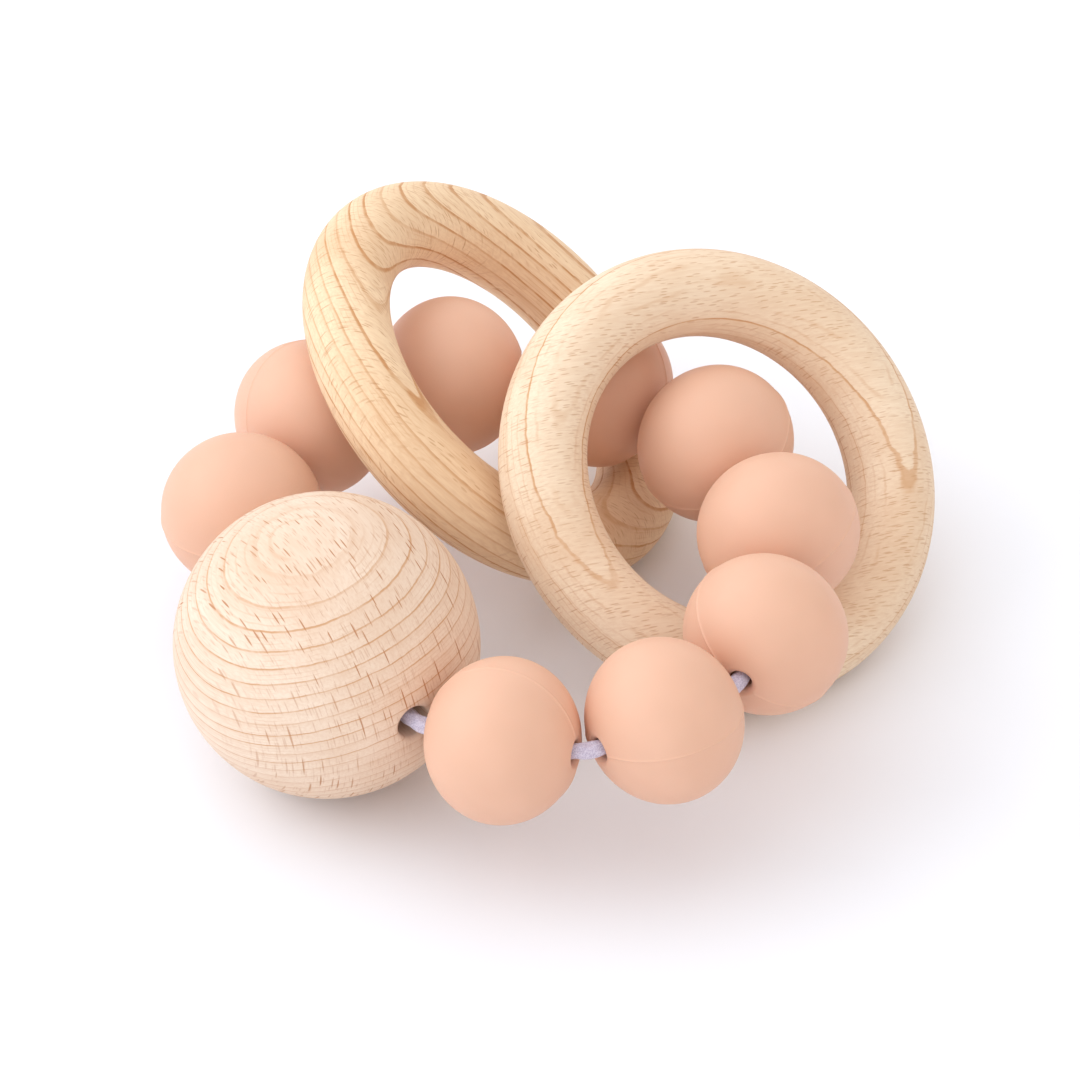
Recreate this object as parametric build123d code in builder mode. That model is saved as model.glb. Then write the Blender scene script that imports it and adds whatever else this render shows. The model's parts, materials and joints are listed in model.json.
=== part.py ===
"""Baby rattle: nine silicone beads and a large wooden ball strung in a loop, with two wooden rings on it.

Millimetres, +Z up, the part stands on z = 0.  +X runs along the loop's line of symmetry, from the
ball to bead 5, and beads 1 to 4 are on the -Y side.  The loop is flat and slightly tipped: the ball
stands on the floor and the two leaning rings hold up the far side.  The origin is the middle of the
footprint.
"""

from build123d import *
from math import cos, radians, sin, sqrt
import os

os.makedirs("parts", exist_ok=True)

# ---- driving dimensions ----

# the large ball
ball_diameter = 35.0
ball_bore = 4.0
ball_bore_edge = 0.5

# one bead, shorter along its hole than it is wide
bead_diameter = 19.0
bead_length = 17.6
bead_bore = 2.6
bead_bore_edge = 0.7

# one ring
ring_outside = 55.0
ring_section = 10.4

# the cord and its knot, which is inside the ball
cord_diameter = 2.0
cord_bend = 3.2
knot_diameter = 3.4
knot_wraps = 3
knot_wrap_size = 1.0
knot_wrap_pitch = 0.9

# how the loop is laid
bead_gap = 0.3
first_bead_reach = 10.0
turns_to_the_far_bead = (36.0, 49.0, 37.5, 30.5, 27.0)
loop_rise = 3.3
loop_side_rise = 1.8

# how the rings lean: the middle, from the ball's middle on the floor, the lean and the way it faces
ring_under_middle = (42.4, 26.3)
ring_under_lean = 39.5
ring_under_faces = -46.8
ring_over_middle = (52.7, -4.2)
ring_over_lean = 41.1
ring_over_faces = -90.3

# ---- sizes that follow ----

ball_radius = ball_diameter / 2
bead_radius = bead_diameter / 2
bead_half = bead_length / 2
ring_tube = ring_section / 2
ring_radius = ring_outside / 2 - ring_tube
turns = turns_to_the_far_bead + turns_to_the_far_bead[::-1]
bead_count = len(turns) - 1


def bead_reach(turn):
    """The way from a bead's middle to the bend in the cord between it and the next bead."""
    half_turn = radians(turn / 2)
    bead_depth = sqrt((bead_half * cos(half_turn)) ** 2 + (bead_radius * sin(half_turn)) ** 2)
    return (bead_depth + bead_gap / 2) / cos(half_turn)


def ring_height(lean):
    """The height of a leaning ring's middle when its lowest side rests on the floor."""
    return ring_tube + ring_radius * sin(radians(lean))


def ring_spread(lean, faces, across):
    """Half of a leaning ring's extent along the level direction `across`, in degrees from +X."""
    along_axis = sin(radians(lean)) * cos(radians(across - faces))
    return ring_tube + ring_radius * sqrt(1 - along_axis ** 2)


# ---- the walk round the loop, in the loop's own plane ----

reaches = [first_bead_reach] + [bead_reach(turn) for turn in turns[1:-1]] + [first_bead_reach]
heading = -90.0
bends = [(0.0, 0.0)]
bead_places = []
bead_headings = []
for number in range(bead_count):
    heading += turns[number]
    step_x = cos(radians(heading))
    step_y = sin(radians(heading))
    last_x, last_y = bends[-1]
    bead_x = last_x + reaches[number] * step_x
    bead_y = last_y + reaches[number] * step_y
    bead_places.append((bead_x, bead_y))
    bead_headings.append(heading)
    bends.append((bead_x + reaches[number + 1] * step_x, bead_y + reaches[number + 1] * step_y))

# the ball is half way along the last side, which joins the two ends of the walk
ball_x = (bends[0][0] + bends[-1][0]) / 2
ball_y = (bends[0][1] + bends[-1][1]) / 2
bends = [(x - ball_x, y - ball_y) for x, y in bends]
bead_places = [(x - ball_x, y - ball_y) for x, y in bead_places]

# ---- the frame ----

under_x, under_y = ring_under_middle
over_x, over_y = ring_over_middle
under_spread_y = ring_spread(ring_under_lean, ring_under_faces, 90)
x_high = over_x + ring_spread(ring_over_lean, ring_over_faces, 0)
y_high = under_y + under_spread_y
y_low = min(y for x, y in bead_places) - bead_radius
middle_x = (x_high - ball_radius) / 2
middle_y = (y_high + y_low) / 2

ball_middle = Vector(-middle_x, -middle_y, ball_radius)
along = Vector(cos(radians(loop_rise)), 0, sin(radians(loop_rise)))
sideways = Vector(0, cos(radians(loop_side_rise)), -sin(radians(loop_side_rise)))
loop_plane = Plane(origin=ball_middle, x_dir=along, z_dir=along.cross(sideways))


def bore_plane(place, heading_angle):
    """A plane through a drilled piece, its x along the hole and its z square to the loop."""
    way = loop_plane.x_dir * cos(radians(heading_angle)) + loop_plane.y_dir * sin(radians(heading_angle))
    return Plane(origin=loop_plane.from_local_coords(place), x_dir=way, z_dir=loop_plane.z_dir)


def ring_plane(middle, lean, faces):
    """A plane through a leaning ring's middle that holds its axis: x outwards and down, y along the axis."""
    face = radians(faces)
    tilt = radians(lean)
    axis_way = Vector(sin(tilt) * cos(face), sin(tilt) * sin(face), cos(tilt))
    low_way = Vector(cos(tilt) * cos(face), cos(tilt) * sin(face), -sin(tilt))
    origin = Vector(middle[0] - middle_x, middle[1] - middle_y, ring_height(lean))
    return Plane(origin=origin, x_dir=low_way, z_dir=low_way.cross(axis_way))


def bore_corners(half_section, plane):
    """The corners of a drilled piece's half section at the two mouths of its bore."""
    return ShapeList(half_section.vertices()).sort_by(Axis(plane.origin, plane.y_dir))[0:2]


# ---- the ball ----

ball_plane = bore_plane((0.0, 0.0), -90.0)
with BuildPart() as wood_ball:
    with BuildSketch(ball_plane) as ball_half:
        Circle(ball_radius)
        with Locations((0, ball_bore / 2)):
            Rectangle(ball_diameter, ball_diameter, align=(Align.CENTER, Align.MIN), mode=Mode.INTERSECT)
        fillet(bore_corners(ball_half, ball_plane), ball_bore_edge)
    revolve(axis=Axis(ball_plane.origin, ball_plane.x_dir))
wood_ball.part.label = "wood_ball"
export_step(wood_ball.part, "parts/wood_ball.step")

# ---- the beads ----

for number in range(bead_count):
    bead_plane = bore_plane(bead_places[number], bead_headings[number])
    with BuildPart() as bead:
        with BuildSketch(bead_plane) as bead_half_section:
            Ellipse(bead_half, bead_radius)
            with Locations((0, bead_bore / 2)):
                Rectangle(bead_length, bead_radius, align=(Align.CENTER, Align.MIN), mode=Mode.INTERSECT)
            fillet(bore_corners(bead_half_section, bead_plane), bead_bore_edge)
        revolve(axis=Axis(bead_plane.origin, bead_plane.x_dir))
    bead_name = "bead_%d" % (number + 1)
    bead.part.label = bead_name
    export_step(bead.part, "parts/%s.step" % bead_name)

# ---- the rings ----

ring_lays = {
    "ring_under": ring_plane(ring_under_middle, ring_under_lean, ring_under_faces),
    "ring_over": ring_plane(ring_over_middle, ring_over_lean, ring_over_faces),
}
for ring_name, lay in ring_lays.items():
    with BuildPart() as ring:
        with BuildSketch(lay):
            with Locations((ring_radius, 0)):
                Circle(ring_tube)
        revolve(axis=Axis(lay.origin, lay.y_dir))
    ring.part.label = ring_name
    export_step(ring.part, "parts/%s.step" % ring_name)

# ---- the cord ----

# it runs straight through every bore and bends between them, and its knot is half way through the ball
with BuildPart() as cord:
    with BuildLine(loop_plane) as route:
        FilletPolyline(bends, radius=cord_bend, close=True)
    cord_start = route.wire() @ 0
    cord_way = route.wire() % 0
    with BuildSketch(Plane(origin=cord_start, z_dir=cord_way)):
        Circle(cord_diameter / 2)
    sweep(path=route.wire())
    with BuildSketch(ball_plane):
        with GridLocations(knot_wrap_pitch, 0, knot_wraps, 1):
            with Locations((0, (knot_diameter - knot_wrap_size) / 2)):
                Circle(knot_wrap_size / 2)
    revolve(axis=Axis(ball_plane.origin, ball_plane.x_dir))
cord.part.label = "cord"
export_step(cord.part, "parts/cord.step")
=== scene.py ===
import json
import math

import bpy
from mathutils import Matrix, Vector, noise


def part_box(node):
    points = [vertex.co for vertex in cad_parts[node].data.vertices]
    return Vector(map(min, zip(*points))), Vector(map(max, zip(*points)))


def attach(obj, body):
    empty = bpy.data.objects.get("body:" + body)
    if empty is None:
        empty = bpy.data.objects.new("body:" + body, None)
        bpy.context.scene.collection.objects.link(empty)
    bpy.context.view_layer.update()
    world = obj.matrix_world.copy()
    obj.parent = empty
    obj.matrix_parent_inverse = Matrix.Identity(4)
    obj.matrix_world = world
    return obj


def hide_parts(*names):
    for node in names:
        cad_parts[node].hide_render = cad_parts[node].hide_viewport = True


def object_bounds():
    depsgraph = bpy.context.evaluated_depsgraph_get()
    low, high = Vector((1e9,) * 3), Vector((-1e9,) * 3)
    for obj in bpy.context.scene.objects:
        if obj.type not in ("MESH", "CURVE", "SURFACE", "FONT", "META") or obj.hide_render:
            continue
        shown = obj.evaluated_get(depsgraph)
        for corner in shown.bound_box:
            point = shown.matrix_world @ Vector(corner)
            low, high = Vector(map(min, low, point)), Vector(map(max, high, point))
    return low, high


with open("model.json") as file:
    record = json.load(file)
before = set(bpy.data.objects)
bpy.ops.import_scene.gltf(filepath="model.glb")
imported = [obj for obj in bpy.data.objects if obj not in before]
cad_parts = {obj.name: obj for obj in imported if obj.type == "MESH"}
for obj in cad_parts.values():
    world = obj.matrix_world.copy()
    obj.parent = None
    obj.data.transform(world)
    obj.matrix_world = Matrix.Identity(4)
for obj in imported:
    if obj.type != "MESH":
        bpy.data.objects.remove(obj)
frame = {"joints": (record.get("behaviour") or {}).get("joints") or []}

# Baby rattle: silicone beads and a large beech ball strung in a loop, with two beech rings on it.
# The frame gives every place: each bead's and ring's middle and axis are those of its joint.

MM = 0.001
cad_low, cad_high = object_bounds()
joints = {joint["child"]: joint for joint in frame["joints"]}

# ---- sizes in metres, and the number of beads ----

BALL_RADIUS = 17.5 * MM
BALL_BORE_RADIUS = 2.0 * MM
BALL_BORE_EDGE = 0.5 * MM
BEAD_RADIUS = 9.5 * MM
BEAD_HALF_LENGTH = 8.8 * MM
BEAD_BORE_RADIUS = 1.3 * MM
BEAD_BORE_EDGE = 0.7 * MM
RING_RADIUS = 22.3 * MM
RING_TUBE_RADIUS = 5.2 * MM
CORD_RADIUS = 1.0 * MM
BEAD_COUNT = 9

# ---- directions in the photograph's view, which lay the grain, the seams and the window ----

VIEW_AZIMUTH = math.radians(-35.5)
VIEW_ELEVATION = math.radians(34.1)
VIEW_RIGHT = Vector((math.cos(VIEW_AZIMUTH), math.sin(VIEW_AZIMUTH), 0))
VIEW_BACK = Vector((
    math.sin(VIEW_AZIMUTH) * math.cos(VIEW_ELEVATION),
    -math.cos(VIEW_AZIMUTH) * math.cos(VIEW_ELEVATION),
    math.sin(VIEW_ELEVATION),
))
VIEW_UP = VIEW_BACK.cross(VIEW_RIGHT)


def seen(right, up, back):
    """A direction given as the photograph shows it: to the right, upwards and towards the camera."""
    return (VIEW_RIGHT * right + VIEW_UP * up + VIEW_BACK * back).normalized()


# ---- places from the frame ----

def joint_place(body):
    """The middle and the axis of a body's joint."""
    joint = joints[body]
    return Vector(joint["pos_m"]), Vector(joint["axis"]).normalized()


def box_middle(node):
    low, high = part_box(node)
    return (low + high) / 2


bead_places = [joint_place("bead_%d_body" % (number + 1)) for number in range(BEAD_COUNT)]
ball_middle = box_middle("wood_ball")

# the ball has no joint: its bore points the way from the last bead to the first
ball_way = (bead_places[0][0] - bead_places[-1][0]).normalized()


# ---- meshes ----

MOUTH_STEPS = 6
BORE_STEPS = 8
HALVINGS = 40


def arc(middle, radius, start, end, steps):
    """Points on an arc, both ends included, with the angles in radians."""
    points = []
    for step in range(steps + 1):
        angle = start + (end - start) * step / steps
        points.append((middle[0] + radius * math.cos(angle), middle[1] + radius * math.sin(angle)))
    return points


def even_angles(count):
    return [2 * math.pi * step / count for step in range(count)]


def drilled_outline(half_length, radius, bore, edge, steps):
    """The half section of a drilled ball or bead, as (along, outwards) points: the bore, a rounded mouth,
    the outside and the other mouth.  Where the mouth meets the outside is found by halving."""
    low, high = 0.0, math.pi / 2
    for _ in range(HALVINGS):
        turn = (low + high) / 2
        normal = Vector((math.cos(turn) / half_length, math.sin(turn) / radius)).normalized()
        if radius * math.sin(turn) - edge * normal.y < bore + edge:
            low = turn
        else:
            high = turn
    mouth = half_length * math.cos(turn) - edge * normal.x
    lean = math.atan2(normal.y, normal.x)
    right_mouth = arc((mouth, bore + edge), edge, -math.pi / 2, lean, MOUTH_STEPS)
    left_mouth = [(-x, y) for x, y in reversed(right_mouth)]
    outside = []
    for step in range(1, steps):
        angle = turn + (math.pi - 2 * turn) * step / steps
        outside.append((half_length * math.cos(angle), radius * math.sin(angle)))
    inside = [(-mouth + 2 * mouth * step / BORE_STEPS, bore) for step in range(1, BORE_STEPS)]
    return inside + right_mouth + outside + left_mouth


def looped(name, points, rounds, middle):
    """A smooth object from `rounds` closed loops of points, with the last loop joined to the first."""
    count = len(points) // rounds
    faces = []
    for turn in range(rounds):
        after = (turn + 1) % rounds
        for step in range(count):
            follows = (step + 1) % count
            faces.append((
                turn * count + step,
                turn * count + follows,
                after * count + follows,
                after * count + step,
            ))
    mesh = bpy.data.meshes.new(name)
    mesh.from_pydata(points, [], faces)
    mesh.update()
    mesh.shade_smooth()
    piece = bpy.data.objects.new(name, mesh)
    bpy.context.scene.collection.objects.link(piece)
    piece.location = middle
    return piece


def turned(name, outline, angles, middle, axis, side, shape):
    """A closed outline turned round an axis, as an object whose origin is its middle.  `shape` gives each
    point its last place, from the point, the direction outwards and its distance from the axis."""
    third = axis.cross(side)
    points = []
    for angle in angles:
        outwards = side * math.cos(angle) + third * math.sin(angle)
        for along, out in outline:
            points.append(shape(axis * along + outwards * out, outwards, out))
    return looped(name, points, len(angles), middle)


def finish_piece(piece, node, body, material):
    """Puts a finished piece on its body in place of its CAD node."""
    piece.data.materials.append(material)
    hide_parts(node)
    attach(piece, body)


# ---- node helpers ----

class Graph:
    """The nodes of a material or a world, added one after another."""

    def __init__(self, owner, shader_name):
        owner.use_nodes = True
        self.owner = owner
        self.nodes = owner.node_tree.nodes
        self.links = owner.node_tree.links
        self.shader = self.nodes[shader_name]

    def put(self, socket, value):
        """Links a node's output to a socket, or sets the socket's own value."""
        if isinstance(value, bpy.types.NodeSocket):
            self.links.new(value, socket)
        else:
            socket.default_value = value

    def add(self, kind, inputs=(), **settings):
        node = self.nodes.new(kind)
        for key, value in settings.items():
            setattr(node, key, value)
        for key, value in dict(inputs).items():
            self.put(node.inputs[key], value)
        return node

    def math(self, operation, first, second=0.0):
        return self.add("ShaderNodeMath", {0: first, 1: second}, operation=operation).outputs[0]

    def vector_math(self, operation, first, second):
        return self.add("ShaderNodeVectorMath", {0: first, 1: second}, operation=operation).outputs["Vector"]

    def measure(self, operation, first, second=(0.0, 0.0, 0.0)):
        """A vector operation that gives a number."""
        return self.add("ShaderNodeVectorMath", {0: first, 1: second}, operation=operation).outputs["Value"]

    def squareness(self, normal, direction):
        """How square a surface is to a direction: 0 along it and 1 across it."""
        return self.math("ABSOLUTE", self.measure("DOT_PRODUCT", normal, direction))

    def noise(self, vector, per_metre, detail=2.0, roughness=0.5):
        inputs = {"Vector": vector, "Scale": per_metre, "Detail": detail, "Roughness": roughness}
        return self.add("ShaderNodeTexNoise", inputs).outputs["Fac"]

    def band(self, value, low, high, to_low=0.0, to_high=1.0):
        """Maps low..high to to_low..to_high with soft ends."""
        inputs = {
            "Value": value,
            "From Min": low,
            "From Max": high,
            "To Min": to_low,
            "To Max": to_high,
        }
        return self.add("ShaderNodeMapRange", inputs, interpolation_type="SMOOTHSTEP").outputs[0]

    def mix(self, amount, first, second):
        """Goes from the first colour to the second as the amount goes from 0 to 1."""
        inputs = {0: amount, 6: first, 7: second}
        return self.add("ShaderNodeMix", inputs, data_type="RGBA").outputs[2]

    def bump(self, height, strength, distance):
        inputs = {"Height": height, "Strength": strength, "Distance": distance}
        return self.add("ShaderNodeBump", inputs).outputs[0]


def material_graph(name):
    return Graph(bpy.data.materials.new(name), "Principled BSDF")


def colour(red, green, blue):
    """A display colour as the linear one that a shader takes."""
    def linear(part):
        return part / 12.92 if part <= 0.04045 else ((part + 0.055) / 1.055) ** 2.4
    return (linear(red), linear(green), linear(blue), 1.0)


# ---- beech ----

# how many waves or spots of each kind there are in a metre
SLOW_WAVES = 50.0
QUICK_WAVES = 420.0
LINE_BREAKS = 330.0
THIN_LINE_PATCHES = 170.0
FIBRES = 3400.0
CLOUDS = 75.0

# how far each mark takes the pale wood towards the colour of the dark lines
SHADE_DEPTH = 0.14
LINE_DEPTH = 0.95
THIN_LINE_DEPTH = 0.28
CLOUD_DEPTH = 0.25
FIBRE_DEPTH = 0.20

# the dark line is at this part of each layer, and there are this many thin lines to one layer
LINE_PHASE = 0.97
THIN_LINES = 3.37

# a ray's or fleck's cell is this long with the radius, across the grain and along it
RAY_SPACING = (4.6 * MM, 0.85 * MM, 2.2 * MM)
RAY_THINNESS = 3.8
RAY_SHARE = 0.9
FLECK_SPACING = (2.2 * MM, 0.33 * MM, 1.4 * MM)
FLECK_THINNESS = 1.9
FLECK_SHARE = 0.95


def growth_layers(graph, place, gap, curve, start, wander):
    """The growth layers, on cylinders `gap` apart whose axis is `curve` below the piece's middle, counted
    from `start` below that middle.  Gives the count of layers passed, with a slow wander of up to half of
    `wander` layers either way and a quick small one."""
    stretched = graph.vector_math("MULTIPLY", place, (1.0, 1.0, 0.3))
    slow = graph.math("SUBTRACT", graph.noise(stretched, SLOW_WAVES), 0.5)
    quick = graph.math("SUBTRACT", graph.noise(stretched, QUICK_WAVES, 3.0, 0.6), 0.5)
    split = graph.add("ShaderNodeSeparateXYZ", {0: place})
    depth = graph.math("ADD", split.outputs["X"], curve)
    squared = graph.math("MULTIPLY", depth, depth)
    sideways = graph.math("MULTIPLY", split.outputs["Y"], split.outputs["Y"])
    reach = graph.math("SQRT", graph.math("ADD", squared, sideways))
    count = graph.math("DIVIDE", graph.math("SUBTRACT", reach, curve - start), gap)
    count = graph.math("ADD", count, graph.math("MULTIPLY", slow, wander))
    return graph.math("ADD", count, graph.math("MULTIPLY", quick, 0.2))


def growth_lines(graph, place, count, width):
    """One dark line to each layer, about `width` of a layer wide and broken here and there.  Some are
    weaker than others."""
    phase = graph.math("FRACT", count)
    rise = graph.band(phase, LINE_PHASE - 1.6 * width, LINE_PHASE - 0.6 * width)
    fall = graph.band(phase, LINE_PHASE, LINE_PHASE + 0.4 * width, 1.0, 0.0)
    broken = graph.band(graph.noise(place, LINE_BREAKS, 3.0, 0.6), 0.3, 0.6, 0.4, 1.0)
    layer = graph.math("FLOOR", count)
    chance = graph.add("ShaderNodeTexWhiteNoise", {"W": layer}, noise_dimensions="1D").outputs["Value"]
    line = graph.math("MULTIPLY", graph.math("MULTIPLY", rise, fall), broken)
    return graph.math("MULTIPLY", line, graph.band(chance, 0.0, 0.7, 0.45, 1.0))


def dashes(graph, place, spacing, thinness, share):
    """Thin lens-shaped rays, one in each cell of about `spacing`.  Each is `thinness` times thinner than its
    cell is wide.  Only about the given share of them is marked, some more strongly than others."""
    cells = graph.vector_math("MULTIPLY", place, [1 / length for length in spacing])
    voronoi = graph.add("ShaderNodeTexVoronoi", {"Vector": cells, "Scale": 1.0, "Randomness": 1.0})
    chance = graph.add("ShaderNodeSeparateColor", {0: voronoi.outputs["Color"]}).outputs[0]
    strength = graph.band(chance, 1 - share, 0.9)
    away = graph.vector_math("SUBTRACT", cells, voronoi.outputs["Position"])
    away = graph.vector_math("MULTIPLY", away, (1.0, thinness, 1.0))
    lens = graph.band(graph.measure("LENGTH", away), 0.28, 0.48, 1.0, 0.0)
    return graph.math("MULTIPLY", lens, strength)


def beech(
    name, layers, fibres, colours, gap, curve, start, wander,
    line_width, flat_line, ray_depth, fleck_depth,
):
    """Bare turned beech.  `layers` is square to the growth layers and `fibres` runs along the grain, both in
    the piece's own frame.  `colours` are the pale wood, the dark lines and the rays.  `flat_line` is how
    strong a line stays where its layer lies flat in the surface."""
    pale, dark, deep = colours
    graph = material_graph(name)
    across = fibres.cross(layers).normalized()
    along = layers.cross(across).normalized()
    turn = Matrix((layers, across, along)).to_euler()
    coords = graph.add("ShaderNodeTexCoord")
    normal = coords.outputs["Normal"]
    mapping = graph.add("ShaderNodeMapping", {"Vector": coords.outputs["Object"], "Rotation": turn})
    place = mapping.outputs[0]

    # each layer shades slowly to its line, which is weaker where the layer lies almost flat in the surface
    count = growth_layers(graph, place, gap, curve, start, wander)
    phase = graph.math("FRACT", count)
    shade = graph.math("MULTIPLY", graph.band(phase, 0.3, 0.95), graph.band(phase, LINE_PHASE, 1.0, 1.0, 0.0))
    slant = graph.band(graph.squareness(normal, layers), 0.80, 0.985, 1.0, flat_line)
    line = graph.math("MULTIPLY", growth_lines(graph, place, count, line_width / gap), slant)

    # fainter, closer lines between them, in patches
    close = graph.math("FRACT", graph.math("MULTIPLY", count, THIN_LINES))
    thin = graph.math("MULTIPLY", graph.band(close, 0.68, 0.86), graph.band(close, 0.9, 1.0, 1.0, 0.0))
    patches = graph.band(graph.noise(place, THIN_LINE_PATCHES), 0.42, 0.62)
    thin = graph.math("MULTIPLY", thin, patches)

    # rays and the small flecks between them, which fade where the surface shows their broad sides
    broadside = graph.band(graph.squareness(normal, across), 0.75, 0.97, 1.0, 0.2)
    ray = dashes(graph, place, RAY_SPACING, RAY_THINNESS, RAY_SHARE)
    ray = graph.math("MULTIPLY", ray, broadside)
    fleck = dashes(graph, place, FLECK_SPACING, FLECK_THINNESS, FLECK_SHARE)
    fleck = graph.math("MULTIPLY", fleck, broadside)

    # fine fibres and a broad cloudy tone, both drawn out along the grain
    fibre = graph.noise(graph.vector_math("MULTIPLY", place, (1.0, 1.0, 0.07)), FIBRES, 2.0, 0.6)
    cloud = graph.noise(graph.vector_math("MULTIPLY", place, (1.0, 1.0, 0.4)), CLOUDS, 3.0, 0.6)

    tone = graph.mix(graph.math("MULTIPLY", shade, SHADE_DEPTH), pale, dark)
    tone = graph.mix(graph.math("MULTIPLY", line, LINE_DEPTH), tone, dark)
    tone = graph.mix(graph.math("MULTIPLY", thin, THIN_LINE_DEPTH), tone, dark)
    tone = graph.mix(graph.band(cloud, 0.35, 0.7, 0.0, CLOUD_DEPTH), tone, dark)
    tone = graph.mix(graph.band(fibre, 0.3, 0.7, FIBRE_DEPTH, 0.0), tone, dark)
    tone = graph.mix(graph.math("MULTIPLY", fleck, fleck_depth), tone, deep)
    tone = graph.mix(graph.math("MULTIPLY", ray, ray_depth), tone, deep)
    graph.put(graph.shader.inputs["Base Color"], tone)

    graph.put(graph.shader.inputs["Roughness"], graph.band(fibre, 0.2, 0.8, 0.52, 0.70))
    graph.shader.inputs["Specular IOR Level"].default_value = 0.3
    height = graph.math("SUBTRACT", graph.math("MULTIPLY", fibre, 0.35), graph.math("MULTIPLY", ray, 0.8))
    height = graph.math("SUBTRACT", height, graph.math("MULTIPLY", line, 0.5))
    graph.put(graph.shader.inputs["Normal"], graph.bump(height, 0.35, 0.05 * MM))
    return graph.owner


# ---- silicone and cord ----

SILICONE_CLOUDS = 130.0
SILICONE_GRAINS = 5200.0
CORD_GRAINS = 6000.0


def silicone(name):
    graph = material_graph(name)
    coords = graph.add("ShaderNodeTexCoord").outputs["Object"]
    cloud = graph.noise(coords, SILICONE_CLOUDS)
    fine = graph.noise(coords, SILICONE_GRAINS)
    tone = graph.mix(graph.band(cloud, 0.3, 0.7), colour(0.88, 0.695, 0.59), colour(0.895, 0.71, 0.605))
    graph.put(graph.shader.inputs["Base Color"], tone)
    graph.put(graph.shader.inputs["Roughness"], graph.band(fine, 0.3, 0.7, 0.50, 0.60))
    graph.shader.inputs["Specular IOR Level"].default_value = 0.4
    graph.shader.inputs["Subsurface Weight"].default_value = 0.12
    graph.shader.inputs["Subsurface Radius"].default_value = (1.0, 0.45, 0.3)
    graph.shader.inputs["Subsurface Scale"].default_value = 1.2 * MM
    graph.put(graph.shader.inputs["Normal"], graph.bump(fine, 0.12, 0.03 * MM))
    return graph.owner


def cord_material(name):
    graph = material_graph(name)
    coords = graph.add("ShaderNodeTexCoord").outputs["Object"]
    fine = graph.noise(coords, CORD_GRAINS)
    tone = graph.mix(graph.band(fine, 0.3, 0.7), colour(0.72, 0.68, 0.77), colour(0.86, 0.83, 0.89))
    graph.put(graph.shader.inputs["Base Color"], tone)
    graph.shader.inputs["Roughness"].default_value = 0.45
    graph.shader.inputs["Sheen Weight"].default_value = 0.25
    graph.put(graph.shader.inputs["Normal"], graph.bump(fine, 0.3, 0.05 * MM))
    return graph.owner


# ---- the ball ----

BALL_OUTLINE_STEPS = 96
BALL_TURNS = 160
BALL_WAVES = 90.0
BALL_WAVE_SHARE = 0.0012


def build_ball():
    def worn(point, outwards, out):
        """Faint unevenness, kept just inside the CAD ball's surface."""
        if out < BALL_BORE_RADIUS + BALL_BORE_EDGE:
            return point
        wave = noise.noise(point * BALL_WAVES + Vector((3.0, 1.0, 7.0)))
        return point * (1 + BALL_WAVE_SHARE * wave - BALL_WAVE_SHARE)

    outline = drilled_outline(
        BALL_RADIUS, BALL_RADIUS, BALL_BORE_RADIUS, BALL_BORE_EDGE, BALL_OUTLINE_STEPS,
    )
    side = ball_way.cross(Vector((0, 0, 1))).normalized()
    ball = turned("beech_ball", outline, even_angles(BALL_TURNS), ball_middle, ball_way, side, worn)
    layers = seen(-0.12, 0.775, 0.62)
    across = seen(0.835, 0.42, -0.35)
    wood = beech(
        "ball_beech", layers, layers.cross(across),
        (colour(0.935, 0.85, 0.77), colour(0.80, 0.61, 0.45), colour(0.72, 0.49, 0.32)),
        gap=1.35 * MM, curve=50 * MM, start=0.8 * MM, wander=0.9,
        line_width=0.10 * MM, flat_line=0.35, ray_depth=0.9, fleck_depth=0.30,
    )
    finish_piece(ball, "wood_ball", "string", wood)


# ---- the beads ----

BEAD_OUTLINE_STEPS = 56
BEAD_TURNS = 96
BEAD_WAVES = 160.0
BEAD_WAVE_HEIGHT = 0.02 * MM
BEAD_SINK = 0.05 * MM
SEAM_HEIGHT = 0.10 * MM
SEAM_WIDTH = 0.12 * MM
SEAM_STEP = 0.009

# degrees by which each bead's seam is rolled round its hole, away from the bead's outline in the view
SEAM_ROLLS = (27, -68, 8, -12, 15, -5, 10, -15, 6)


def seam_angles(count):
    """Even angles, with more of them beside the two where the mould's halves meet."""
    angles = set(even_angles(count))
    for step in (-3, -2, -1, 1, 2, 3):
        angles.add((step * SEAM_STEP) % (2 * math.pi))
        angles.add(math.pi + step * SEAM_STEP)
    return sorted(angles)


def build_beads(material):
    outline = drilled_outline(
        BEAD_HALF_LENGTH, BEAD_RADIUS, BEAD_BORE_RADIUS, BEAD_BORE_EDGE, BEAD_OUTLINE_STEPS,
    )
    angles = seam_angles(BEAD_TURNS)
    for number, (middle, axis) in enumerate(bead_places):
        edge_on = axis.cross(VIEW_BACK).normalized()
        side = Matrix.Rotation(math.radians(SEAM_ROLLS[number]), 3, axis) @ edge_on
        flat = axis.cross(side)
        offset = Vector((number * 3.1, 0.0, 5.0))

        def moulded(point, outwards, out):
            """A faint wave and the mould's raised seam, on a surface sunk a little to leave room for it."""
            if out < BEAD_BORE_RADIUS + BEAD_BORE_EDGE:
                return point
            ridge = SEAM_HEIGHT * math.exp(-(point.dot(flat) / SEAM_WIDTH) ** 2)
            wave = BEAD_WAVE_HEIGHT * noise.noise(point * BEAD_WAVES + offset)
            return point + point.normalized() * (ridge + wave - BEAD_SINK)

        name = "bead_%d" % (number + 1)
        bead = turned("silicone_" + name, outline, angles, middle, axis, side, moulded)
        finish_piece(bead, name, name + "_body", material)


# ---- the rings ----

RING_TUBE_STEPS = 64
RING_TURNS = 240
RING_WAVES = 70.0
RING_WAVE_HEIGHT = 0.04 * MM


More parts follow.
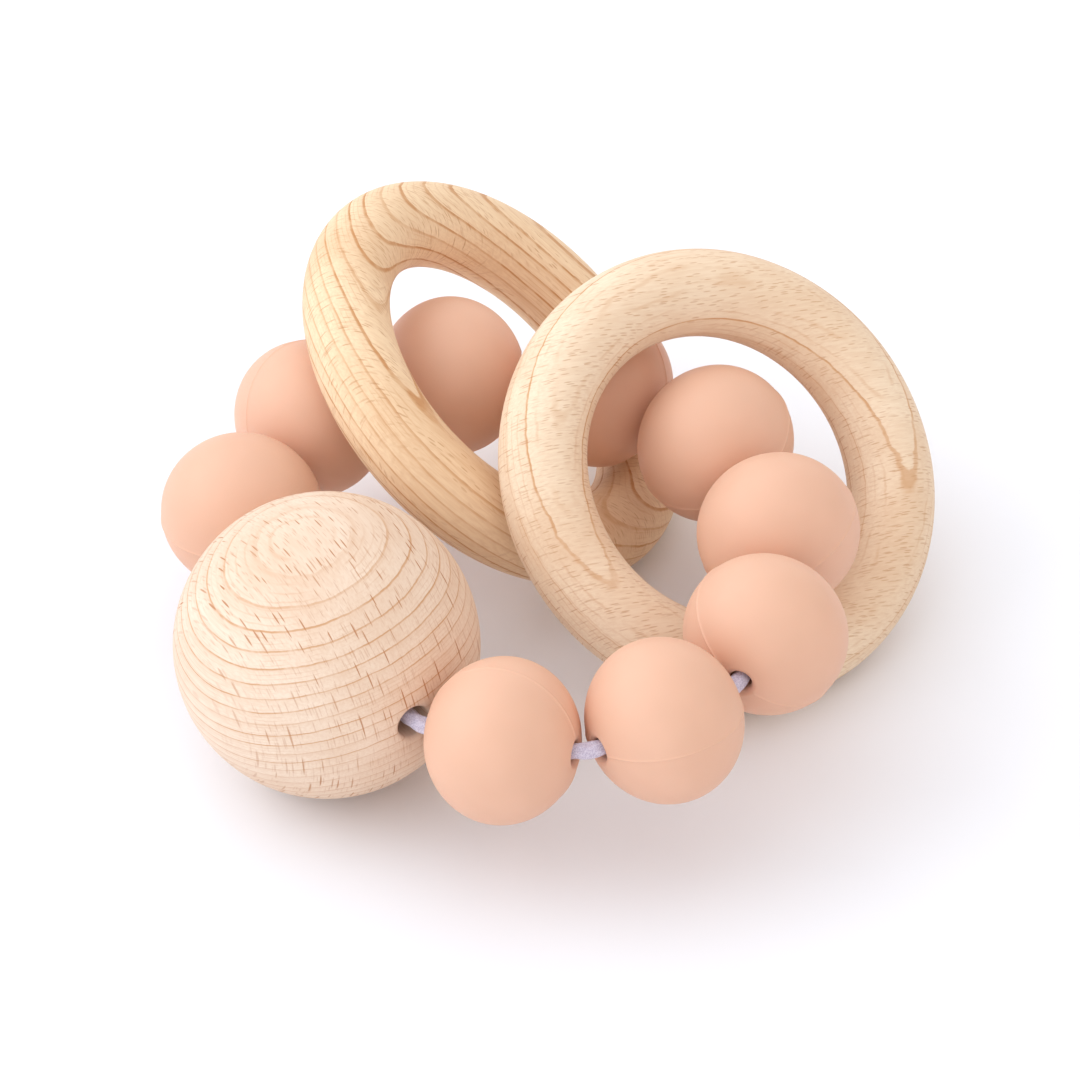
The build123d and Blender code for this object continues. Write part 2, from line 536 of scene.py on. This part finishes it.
def build_ring(node, wood):
    middle, axis = joint_place(node + "_body")
    side = axis.cross(Vector((0, 0, 1))).normalized()

    def sanded(point, outwards, out):
        """Faint unevenness, kept just inside the CAD ring's surface."""
        wave = noise.noise(point * RING_WAVES) * RING_WAVE_HEIGHT
        return point + (point - outwards * RING_RADIUS).normalized() * (wave - RING_WAVE_HEIGHT)

    outline = arc((0, RING_RADIUS), RING_TUBE_RADIUS, 0, 2 * math.pi, RING_TUBE_STEPS)[:-1]
    ring = turned("beech_" + node, outline, even_angles(RING_TURNS), middle, axis, side, sanded)
    finish_piece(ring, node, node + "_body", wood)


def build_rings():
    over_axis = joint_place("ring_over_body")[1]
    over_wood = beech(
        "over_ring_beech",
        (over_axis + seen(-0.27, 0.96, 0.0) * 0.075).normalized(),
        seen(0.90, 0.08, -0.43),
        (colour(0.945, 0.86, 0.755), colour(0.80, 0.60, 0.42), colour(0.73, 0.51, 0.33)),
        gap=2.6 * MM, curve=1000 * MM, start=3.13 * MM, wander=0.2,
        line_width=0.11 * MM, flat_line=0.65, ray_depth=0.30, fleck_depth=0.5,
    )
    build_ring("ring_over", over_wood)
    under_axis = joint_place("ring_under_body")[1]
    under_fibres = seen(0.74, -0.67, -0.15)
    under_wood = beech(
        "under_ring_beech",
        Matrix.Rotation(math.radians(-18), 3, under_fibres) @ under_axis,
        under_fibres,
        (colour(0.955, 0.845, 0.705), colour(0.77, 0.54, 0.33), colour(0.70, 0.47, 0.27)),
        gap=1.45 * MM, curve=120 * MM, start=0.9 * MM, wander=0.5,
        line_width=0.16 * MM, flat_line=0.9, ray_depth=0.25, fleck_depth=0.5,
    )
    build_ring("ring_under", under_wood)


# ---- the cord ----

CORD_INSET = 0.6 * MM
CORD_STEPS = 24
CORD_SIDES = 32
STRANDS = 8
BRAID_PITCH = 3.2 * MM
BRAID_DEPTH = 0.09 * MM


def cord_centreline():
    """The cord's own line, read from a smooth curve that follows the middle and both ends of every bore."""
    stops = []
    places = [(ball_middle, ball_way, BALL_RADIUS)]
    places += [(middle, axis, BEAD_HALF_LENGTH) for middle, axis in bead_places]
    for middle, axis, half_length in places:
        stops.append(middle - axis * (half_length - CORD_INSET))
        stops.append(middle)
        stops.append(middle + axis * (half_length - CORD_INSET))
    curve = bpy.data.curves.new("cord_line", "CURVE")
    curve.dimensions = "3D"
    spline = curve.splines.new("NURBS")
    spline.points.add(len(stops) - 1)
    for point, stop in zip(spline.points, stops):
        point.co = (*stop, 1.0)
    spline.order_u = 3
    spline.use_cyclic_u = True
    spline.resolution_u = CORD_STEPS
    line = bpy.data.objects.new("cord_line", curve)
    bpy.context.scene.collection.objects.link(line)
    sampled = bpy.data.meshes.new_from_object(line)
    points = [vertex.co.copy() for vertex in sampled.vertices]
    bpy.data.objects.remove(line)
    return points


def build_cord(material):
    """The braided cord on its line: strands that wind both ways make its bumps."""
    line = cord_centreline()
    up = Vector((0, 0, 1))
    travelled = 0.0
    points = []
    for step, place in enumerate(line):
        before = line[step - 1]
        after = line[(step + 1) % len(line)]
        way = (after - before).normalized()
        side = way.cross(up).normalized()
        top = side.cross(way)
        if step:
            travelled += (place - before).length
        twist = 2 * math.pi * travelled / BRAID_PITCH
        for angle in even_angles(CORD_SIDES):
            left = math.cos(STRANDS / 2 * angle + twist)
            right = math.cos(STRANDS / 2 * angle - twist)
            radius = CORD_RADIUS - BRAID_DEPTH * (1 - max(left, right))
            points.append(place + (side * math.cos(angle) + top * math.sin(angle)) * radius)
    cord = looped("braided_cord", points, len(line), Vector((0, 0, 0)))
    finish_piece(cord, "cord", "string", material)


# ---- stage, light and camera ----

FLOOR_HALF_WIDTH = 3.0
FLOOR_COLOUR = colour(0.94, 0.94, 0.955)

# the room is ROOM_LIGHT bright to the sides, ROOM_SWING brighter at the window and as much darker opposite it
WINDOW_WAY = seen(-0.75, 0.55, 0.35)
ROOM_LIGHT = 1.0
ROOM_SWING = 0.54
ROOM_TINT = (1.0, 0.955, 0.92, 1.0)
SKY_TINT = (0.93, 1.0, 1.08, 1.0)
WINDOW_DISTANCE = 1.0
WINDOW_SIZE = 0.7
WINDOW_POWER = 1.8

# the photograph's eye point, aimed at the rattle with a longer lens
CAMERA_PLACE = Vector((-0.3237, -0.4471, 0.4721))
CAMERA_TARGET = Vector((0.001, 0.0, 0.015))
CAMERA_SENSOR = 36.0
CAMERA_LENS = 205.0


def build_floor():
    half = FLOOR_HALF_WIDTH
    mesh = bpy.data.meshes.new("floor")
    corners = [(-half, -half, 0), (half, -half, 0), (half, half, 0), (-half, half, 0)]
    mesh.from_pydata(corners, [], [(0, 1, 2, 3)])
    floor = bpy.data.objects.new("floor", mesh)
    bpy.context.scene.collection.objects.link(floor)
    graph = material_graph("pale_floor")
    graph.shader.inputs["Base Color"].default_value = FLOOR_COLOUR
    graph.shader.inputs["Roughness"].default_value = 0.7
    graph.shader.inputs["Specular IOR Level"].default_value = 0.2
    mesh.materials.append(graph.owner)


def build_room():
    """A pale room, brighter and cooler towards the window."""
    graph = Graph(bpy.data.worlds.new("soft_room"), "Background")
    way = graph.add("ShaderNodeTexCoord").outputs["Generated"]
    facing = graph.measure("DOT_PRODUCT", way, WINDOW_WAY)
    swing = graph.math("MULTIPLY", facing, ROOM_SWING)
    graph.put(graph.shader.inputs["Strength"], graph.math("ADD", swing, ROOM_LIGHT))
    graph.put(graph.shader.inputs["Color"], graph.mix(facing, ROOM_TINT, SKY_TINT))
    bpy.context.scene.world = graph.owner


def build_window():
    """A weak, soft, round light that shines on the rattle from the window."""
    data = bpy.data.lights.new("window", "AREA")
    data.shape = "DISK"
    data.size = WINDOW_SIZE
    data.energy = WINDOW_POWER
    lamp = bpy.data.objects.new("window", data)
    bpy.context.scene.collection.objects.link(lamp)
    lamp.location = (cad_low + cad_high) / 2 + WINDOW_WAY * WINDOW_DISTANCE
    lamp.rotation_euler = WINDOW_WAY.to_track_quat("Z", "Y").to_euler()


def build_camera():
    data = bpy.data.cameras.new("camera")
    data.sensor_width = CAMERA_SENSOR
    data.lens = CAMERA_LENS
    data.clip_start = 10 * MM
    camera = bpy.data.objects.new("camera", data)
    bpy.context.scene.collection.objects.link(camera)
    camera.location = CAMERA_PLACE
    camera.rotation_euler = (CAMERA_PLACE - CAMERA_TARGET).to_track_quat("Z", "Y").to_euler()
    bpy.context.scene.camera = camera
    bpy.context.scene.view_settings.view_transform = "Standard"


silicone_finish = silicone("terracotta_silicone")
build_ball()
build_beads(silicone_finish)
build_rings()
build_cord(cord_material("pale_cord"))
build_floor()
build_room()
build_window()
build_camera()
